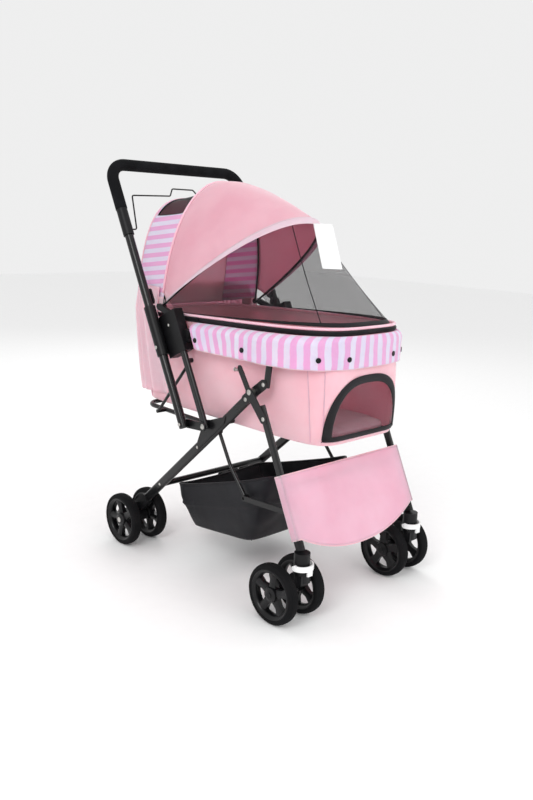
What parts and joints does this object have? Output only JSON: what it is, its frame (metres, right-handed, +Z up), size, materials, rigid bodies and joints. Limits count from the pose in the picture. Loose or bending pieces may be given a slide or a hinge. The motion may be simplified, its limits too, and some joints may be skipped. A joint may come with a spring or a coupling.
{
  "type": "pet stroller",
  "caption": "Folding pet stroller with a fabric cabin, mesh cover, folding canopy, reversible handle, storage basket and twin swivel casters.",
  "frame": {"origin": "on the floor, under the centre of the whole stroller's box", "axes": "+X to the stroller's right hand side seen from behind the handle, -Y towards its front, +Z up"},
  "size_m": [0.5118, 0.764, 1.02],
  "materials": {
    "black_tube": "gloss",
    "black_plate": "satin",
    "black_plastic": "satin",
    "wheel_rim": "gloss",
    "nickel": "polished",
    "white_plastic": "gloss",
    "foam": "matt",
    "pink_fabric": "woven",
    "striped_fabric": "woven stripes",
    "piping_fabric": "woven",
    "zip_tape": "woven",
    "black_mesh": "open mesh",
    "basket_nylon": "woven",
    "board": "matt",
    "pad_fabric": "quilted"
  },
  "bodies": {
    "rear_frame": {"rear_legs": "black_tube", "rear_crossbar": "black_tube", "rear_hubs": "black_plastic", "rear_axles": "nickel", "armrests": "black_tube", "rear_plates": "black_plate", "uprights": "black_tube", "latch_housings": "black_plastic", "seat_loop": "black_tube", "frame_pins": "nickel", "cabin_tub": "pink_fabric", "floor_board": "board", "floor_pad": "pad_fabric", "rim_piping": "piping_fabric", "zipper_tape": "zip_tape", "striped_flap": "striped_fabric", "snap_buttons": "black_plastic", "door_mesh": "black_mesh", "door_binding": "zip_tape", "rear_hood": "striped_fabric", "rear_window": "black_mesh", "back_curtain": "pink_fabric", "rear_bow": "black_tube", "canopy_hinges": "black_plastic", "canopy_panel": "pink_fabric", "mesh_cover": "black_mesh", "basket": "basket_nylon"},
    "canopy_bow": {"canopy_bow": "black_tube"},
    "front_frame": {"front_legs": "black_tube", "front_crossbar": "black_tube", "lock_arms": "black_plate", "front_pins": "nickel", "front_panel": "pink_fabric", "caster_sockets": "black_plastic"},
    "upper_brace": {"upper_braces": "black_tube"},
    "lower_brace": {"lower_braces": "black_plate"},
    "handle": {"handle_tube": "black_tube", "foam_grip": "foam", "handle_collars": "black_plastic", "foot_plates": "black_plate", "handle_rivets": "nickel"},
    "release_wire": {"release_wire": "black_tube"},
    "latch_slider_left": {"latch_slider_left": "black_plastic"},
    "latch_slider_right": {"latch_slider_right": "black_plastic"},
    "caster_left": {"caster_left": "black_plastic"},
    "caster_right": {"caster_right": "black_plastic"},
    "lock_lever_left": {"lock_lever_left": "white_plastic"},
    "lock_lever_right": {"lock_lever_right": "white_plastic"},
    "brake_pedal_left": {"brake_pedal_left": "black_plastic"},
    "brake_pedal_right": {"brake_pedal_right": "black_plastic"},
    "zip_slider_left": {"zip_slider_left": "black_plastic"},
    "zip_slider_right": {"zip_slider_right": "black_plastic"},
    "front_wheel_left_outer": {"front_wheel_left_outer": "wheel_rim"},
    "front_wheel_left_inner": {"front_wheel_left_inner": "wheel_rim"},
    "front_wheel_right_outer": {"front_wheel_right_outer": "wheel_rim"},
    "front_wheel_right_inner": {"front_wheel_right_inner": "wheel_rim"},
    "rear_wheel_left_outer": {"rear_wheel_left_outer": "wheel_rim"},
    "rear_wheel_left_inner": {"rear_wheel_left_inner": "wheel_rim"},
    "rear_wheel_right_outer": {"rear_wheel_right_outer": "wheel_rim"},
    "rear_wheel_right_inner": {"rear_wheel_right_inner": "wheel_rim"}
  },
  "joints": [
    {"name": "fold", "type": "hinge", "parent": "rear_frame", "child": "front_frame", "pos_m": [0, -0.174, 0.499], "axis": [1, 0, 0], "range_deg": [0, 42], "deforming": ["basket"]},
    {"name": "upper_brace_turn", "type": "hinge", "parent": "rear_frame", "child": "upper_brace", "pos_m": [0, -0.0347, 0.3731], "axis": [1, 0, 0], "range_deg": [0, 71.5]},
    {"name": "lower_brace_turn", "type": "hinge", "parent": "front_frame", "child": "lower_brace", "pos_m": [0, -0.3194, 0.2389], "axis": [1, 0, 0], "range_deg": [-35.8, 0]},
    {"name": "handle_reverse", "type": "hinge", "parent": "rear_frame", "child": "handle", "pos_m": [0, -0.015, 0.385], "axis": [1, 0, 0], "range_deg": [0, 72.5]},
    {"name": "wire_pull", "type": "slide", "parent": "handle", "child": "release_wire", "axis": [0, 0.4573, 0.8893], "range_m": [0, 0.012], "stiffness_N_per_m": 300, "springref_m": -0.02},
    {"name": "canopy_fold", "type": "hinge", "parent": "rear_frame", "child": "canopy_bow", "pos_m": [0, 0.205, 0.652], "axis": [1, 0, 0], "range_deg": [-38, 0], "deforming": ["canopy_panel", "mesh_cover"]},
    {"name": "latch_pull_left", "type": "slide", "parent": "handle", "child": "latch_slider_left", "axis": [0, 0.4573, 0.8893], "range_m": [0, 0.012]},
    {"name": "caster_swivel_left", "type": "hinge", "parent": "front_frame", "child": "caster_left", "pos_m": [-0.199, -0.355, 0.12], "axis": [0, 0, 1], "continuous": true},
    {"name": "lock_lever_left", "type": "hinge", "parent": "front_frame", "child": "lock_lever_left", "pos_m": [-0.199, -0.355, 0.141], "axis": [1, 0, 0], "range_deg": [-18, 0]},
    {"name": "brake_pedal_left", "type": "hinge", "parent": "rear_frame", "child": "brake_pedal_left", "pos_m": [-0.199, 0.298, 0.06], "axis": [1, 0, 0], "range_deg": [-15, 0]},
    {"name": "zip_slide_left", "type": "slide", "parent": "rear_frame", "child": "zip_slider_left", "axis": [0, -0.9996, 0.03], "range_m": [0, 0.12]},
    {"name": "latch_pull_right", "type": "slide", "parent": "handle", "child": "latch_slider_right", "axis": [0, 0.4573, 0.8893], "range_m": [0, 0.012]},
    {"name": "caster_swivel_right", "type": "hinge", "parent": "front_frame", "child": "caster_right", "pos_m": [0.199, -0.355, 0.12], "axis": [0, 0, 1], "continuous": true},
    {"name": "lock_lever_right", "type": "hinge", "parent": "front_frame", "child": "lock_lever_right", "pos_m": [0.199, -0.355, 0.141], "axis": [1, 0, 0], "range_deg": [-18, 0]},
    {"name": "brake_pedal_right", "type": "hinge", "parent": "rear_frame", "child": "brake_pedal_right", "pos_m": [0.199, 0.298, 0.06], "axis": [1, 0, 0], "range_deg": [-15, 0]},
    {"name": "zip_slide_right", "type": "slide", "parent": "rear_frame", "child": "zip_slider_right", "axis": [0, -0.9996, 0.03], "range_m": [0, 0.12]},
    {"name": "front_wheel_left_outer_spin", "type": "hinge", "parent": "caster_left", "child": "front_wheel_left_outer", "pos_m": [-0.2412, -0.312, 0.07], "axis": [1, 0, 0], "continuous": true},
    {"name": "front_wheel_left_inner_spin", "type": "hinge", "parent": "caster_left", "child": "front_wheel_left_inner", "pos_m": [-0.1568, -0.312, 0.07], "axis": [1, 0, 0], "continuous": true},
    {"name": "front_wheel_right_outer_spin", "type": "hinge", "parent": "caster_right", "child": "front_wheel_right_outer", "pos_m": [0.2412, -0.312, 0.07], "axis": [1, 0, 0], "continuous": true},
    {"name": "front_wheel_right_inner_spin", "type": "hinge", "parent": "caster_right", "child": "front_wheel_right_inner", "pos_m": [0.1568, -0.312, 0.07], "axis": [1, 0, 0], "continuous": true},
    {"name": "rear_wheel_left_outer_spin", "type": "hinge", "parent": "rear_frame", "child": "rear_wheel_left_outer", "pos_m": [-0.2412, 0.272, 0.07], "axis": [1, 0, 0], "continuous": true},
    {"name": "rear_wheel_left_inner_spin", "type": "hinge", "parent": "rear_frame", "child": "rear_wheel_left_inner", "pos_m": [-0.1568, 0.272, 0.07], "axis": [1, 0, 0], "continuous": true},
    {"name": "rear_wheel_right_outer_spin", "type": "hinge", "parent": "rear_frame", "child": "rear_wheel_right_outer", "pos_m": [0.2412, 0.272, 0.07], "axis": [1, 0, 0], "continuous": true},
    {"name": "rear_wheel_right_inner_spin", "type": "hinge", "parent": "rear_frame", "child": "rear_wheel_right_inner", "pos_m": [0.1568, 0.272, 0.07], "axis": [1, 0, 0], "continuous": true}
  ],
  "couplings": [
    {"joint": "upper_brace_turn", "follows": "fold", "ratio": 1.7},
    {"joint": "lower_brace_turn", "follows": "fold", "ratio": -0.85},
    {"joint": "latch_pull_left", "follows": "wire_pull", "ratio": 1},
    {"joint": "latch_pull_right", "follows": "wire_pull", "ratio": 1}
  ]
}
